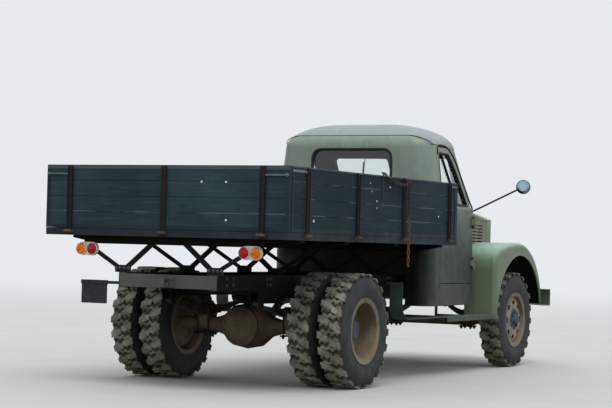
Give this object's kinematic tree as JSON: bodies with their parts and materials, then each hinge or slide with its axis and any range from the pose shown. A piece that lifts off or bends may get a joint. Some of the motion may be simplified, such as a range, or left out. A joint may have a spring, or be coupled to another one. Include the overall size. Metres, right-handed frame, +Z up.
{
  "type": "military cargo truck",
  "caption": "Bonneted military cargo truck with a rounded steel cab, open dropside bed on strutted bearers and twin rear wheels.",
  "frame": {"origin": "on the ground under the middle of the truck", "axes": "+X forward, +Y to the left side, +Z up"},
  "size_m": [6.479, 2.8424, 2.4122],
  "materials": {
    "cab_paint": "weathered matte",
    "fender_paint": "satin",
    "bed_paint": "weathered matte paint on planks and steel",
    "frame_black": "dusty matte",
    "axle_rust": "dusty and rusty",
    "wheel_paint": "dusty matte",
    "rubber_tyre": "dusty",
    "glass_clear": "clear",
    "lamp_lens": "red and amber lenses on a pale plate",
    "chain_rust": "rusty",
    "seat_cover": "worn",
    "cab_trim": "dull black",
    "mirror_glass": "polished, in a dull case",
    "wood_bearer": "dark stained"
  },
  "bodies": {
    "chassis": {"bed_bearers": "wood_bearer", "bed_floor": "bed_paint", "bed_supports": "frame_black", "cab_cowl": "cab_paint", "cab_floor": "cab_paint", "cab_glass": "glass_clear", "cab_rear": "cab_paint", "cab_roof": "cab_paint", "dashboard": "cab_paint", "drive_shaft": "axle_rust", "engine": "axle_rust", "frame_crossmembers": "frame_black", "frame_rails": "frame_black", "front_axle": "axle_rust", "front_bumper": "fender_paint", "front_fenders": "fender_paint", "front_springs": "axle_rust", "fuel_tank": "frame_black", "grille": "fender_paint", "headboard": "bed_paint", "headlamps": "fender_paint", "hood_sides": "cab_paint", "mirrors": "mirror_glass", "plate_bracket": "frame_black", "rear_axle": "axle_rust", "rear_springs": "axle_rust", "running_boards": "fender_paint", "seat": "seat_cover", "tail_lamps": "lamp_lens", "tow_hook": "frame_black"},
    "front_wheel_body_left": {"front_wheel_left": "wheel_paint", "front_tyre_left": "rubber_tyre"},
    "front_wheel_body_right": {"front_wheel_right": "wheel_paint", "front_tyre_right": "rubber_tyre"},
    "rear_wheel_body_left": {"rear_wheels_left": "wheel_paint", "rear_tyres_left": "rubber_tyre"},
    "rear_wheel_body_right": {"rear_wheels_right": "wheel_paint", "rear_tyres_right": "rubber_tyre"},
    "knuckle_body_left": {"knuckle_left": "axle_rust"},
    "knuckle_body_right": {"knuckle_right": "axle_rust"},
    "door_body_left": {"door_left": "cab_paint", "door_glass_left": "glass_clear"},
    "door_body_right": {"door_right": "cab_paint", "door_glass_right": "glass_clear"},
    "hood": {"hood_lid": "cab_paint"},
    "rear_gate": {"tailgate": "bed_paint"},
    "gate_body_left": {"side_gate_left": "bed_paint"},
    "gate_body_right": {"side_gate_right": "bed_paint", "gate_chain": "chain_rust"},
    "steering": {"steering_wheel": "cab_trim"}
  },
  "joints": [
    {"name": "steer_left", "type": "hinge", "parent": "chassis", "child": "knuckle_body_left", "pos_m": [2.275, 0.69, 0.49], "axis": [0, 0, 1], "range_deg": [-30, 30]},
    {"name": "steer_right", "type": "hinge", "parent": "chassis", "child": "knuckle_body_right", "pos_m": [2.275, -0.69, 0.49], "axis": [0, 0, 1], "range_deg": [-30, 30]},
    {"name": "steering_wheel_turn", "type": "hinge", "parent": "chassis", "child": "steering", "pos_m": [1.02, 0.4, 1.48], "axis": [-0.6337, 0, 0.7736], "range_deg": [-540, 540]},
    {"name": "front_roll_left", "type": "hinge", "parent": "knuckle_body_left", "child": "front_wheel_body_left", "pos_m": [2.275, 0.85, 0.49], "axis": [0, 1, 0], "continuous": true},
    {"name": "front_roll_right", "type": "hinge", "parent": "knuckle_body_right", "child": "front_wheel_body_right", "pos_m": [2.275, -0.85, 0.49], "axis": [0, 1, 0], "continuous": true},
    {"name": "rear_roll_left", "type": "hinge", "parent": "chassis", "child": "rear_wheel_body_left", "pos_m": [-1.725, 0.869, 0.49], "axis": [0, 1, 0], "continuous": true},
    {"name": "rear_roll_right", "type": "hinge", "parent": "chassis", "child": "rear_wheel_body_right", "pos_m": [-1.725, -0.869, 0.49], "axis": [0, 1, 0], "continuous": true},
    {"name": "door_open_left", "type": "hinge", "parent": "chassis", "child": "door_body_left", "pos_m": [1.39, 0.836, 1.275], "axis": [0, 0, -1], "range_deg": [0, 68]},
    {"name": "door_open_right", "type": "hinge", "parent": "chassis", "child": "door_body_right", "pos_m": [1.39, -0.836, 1.275], "axis": [0, 0, 1], "range_deg": [0, 68]},
    {"name": "hood_lift", "type": "hinge", "parent": "chassis", "child": "hood", "pos_m": [1.484, 0, 1.733], "axis": [0, -1, 0], "range_deg": [0, 50]},
    {"name": "tailgate_drop", "type": "hinge", "parent": "chassis", "child": "rear_gate", "pos_m": [-3.226, 0, 1.272], "axis": [0, -1, 0], "range_deg": [0, 180]},
    {"name": "gate_drop_left", "type": "hinge", "parent": "chassis", "child": "gate_body_left", "pos_m": [-1.5, 1.166, 1.272], "axis": [-1, 0, 0], "range_deg": [0, 180]},
    {"name": "gate_drop_right", "type": "hinge", "parent": "chassis", "child": "gate_body_right", "pos_m": [-1.5, -1.166, 1.272], "axis": [1, 0, 0], "range_deg": [0, 180], "deforming": ["gate_chain"]}
  ],
  "couplings": [
    {"joint": "steer_right", "follows": "steer_left", "ratio": 1},
    {"joint": "steering_wheel_turn", "follows": "steer_left", "ratio": 18}
  ]
}
